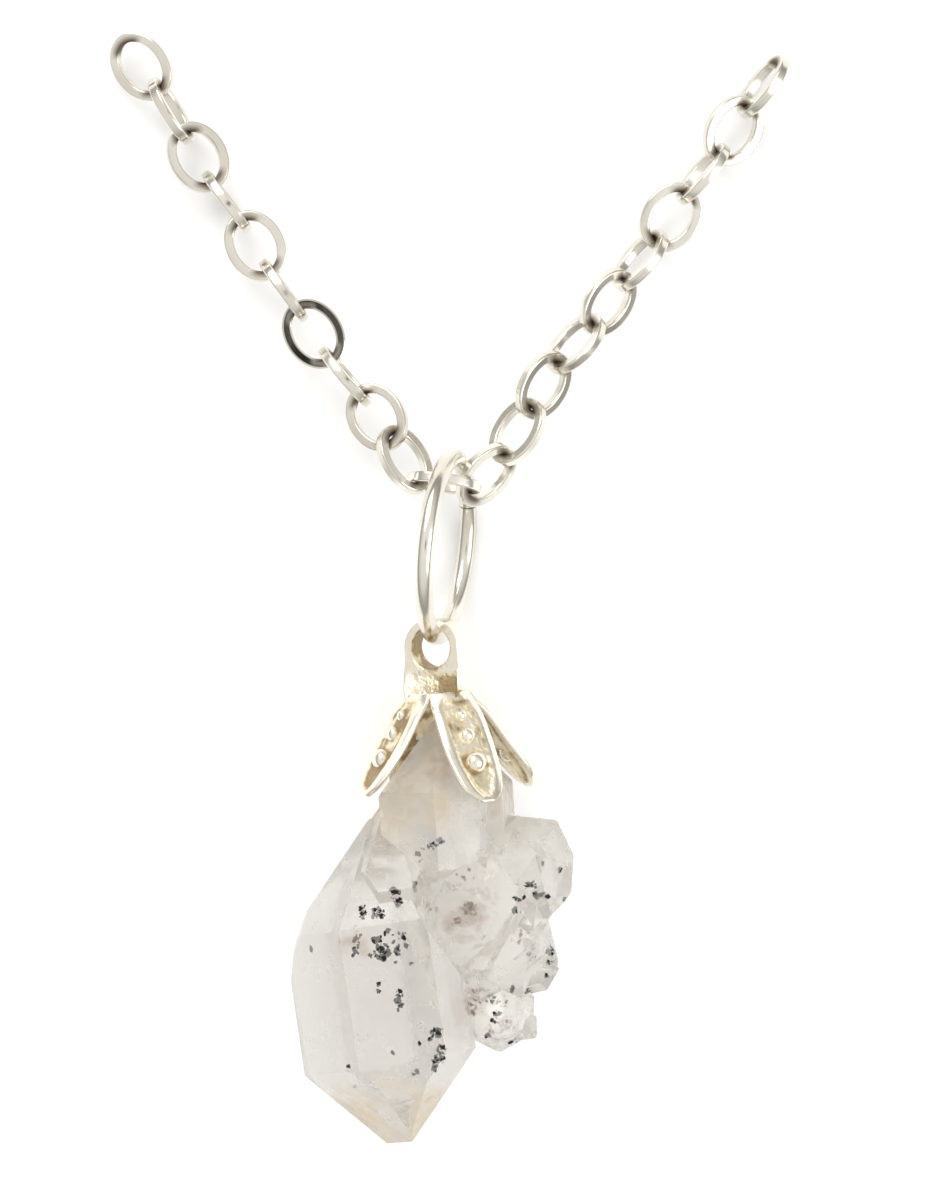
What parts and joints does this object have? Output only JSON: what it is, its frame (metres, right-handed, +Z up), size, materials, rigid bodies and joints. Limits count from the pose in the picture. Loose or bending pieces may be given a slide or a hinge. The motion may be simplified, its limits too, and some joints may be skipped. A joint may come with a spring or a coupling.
{
  "type": "herkimer diamond pendant",
  "caption": "Clear quartz crystal cluster with a doubly terminated main crystal, set in a leaf cap that hangs from a jump ring on a cable chain; lies flat.",
  "frame": {"origin": "on the flat prism face that the main crystal rests on, at floor height", "axes": "+Y from the crystal's tip towards the chain, +Z up from the floor"},
  "size_m": [0.0341, 0.0557, 0.0097],
  "materials": {
    "quartz": "clear, with dark inclusions",
    "pale_gold_plating": "plated, polished",
    "silver": "plated, polished"
  },
  "bodies": {
    "root": {"chain_link_left_01": "silver", "chain_link_left_02": "silver", "chain_link_left_03": "silver", "chain_link_left_04": "silver", "chain_link_left_05": "silver", "chain_link_left_06": "silver", "chain_link_left_07": "silver", "chain_link_left_08": "silver", "chain_link_left_09": "silver", "chain_link_left_10": "silver", "chain_link_middle": "silver", "chain_link_right_01": "silver", "chain_link_right_02": "silver", "chain_link_right_03": "silver", "chain_link_right_04": "silver", "chain_link_right_05": "silver", "chain_link_right_06": "silver", "chain_link_right_07": "silver", "chain_link_right_08": "silver", "chain_link_right_09": "silver", "chain_link_right_10": "silver", "herkimer_crystal": "quartz", "jump_ring": "silver", "leaf_cap": "pale_gold_plating"}
  },
  "joints": []
}
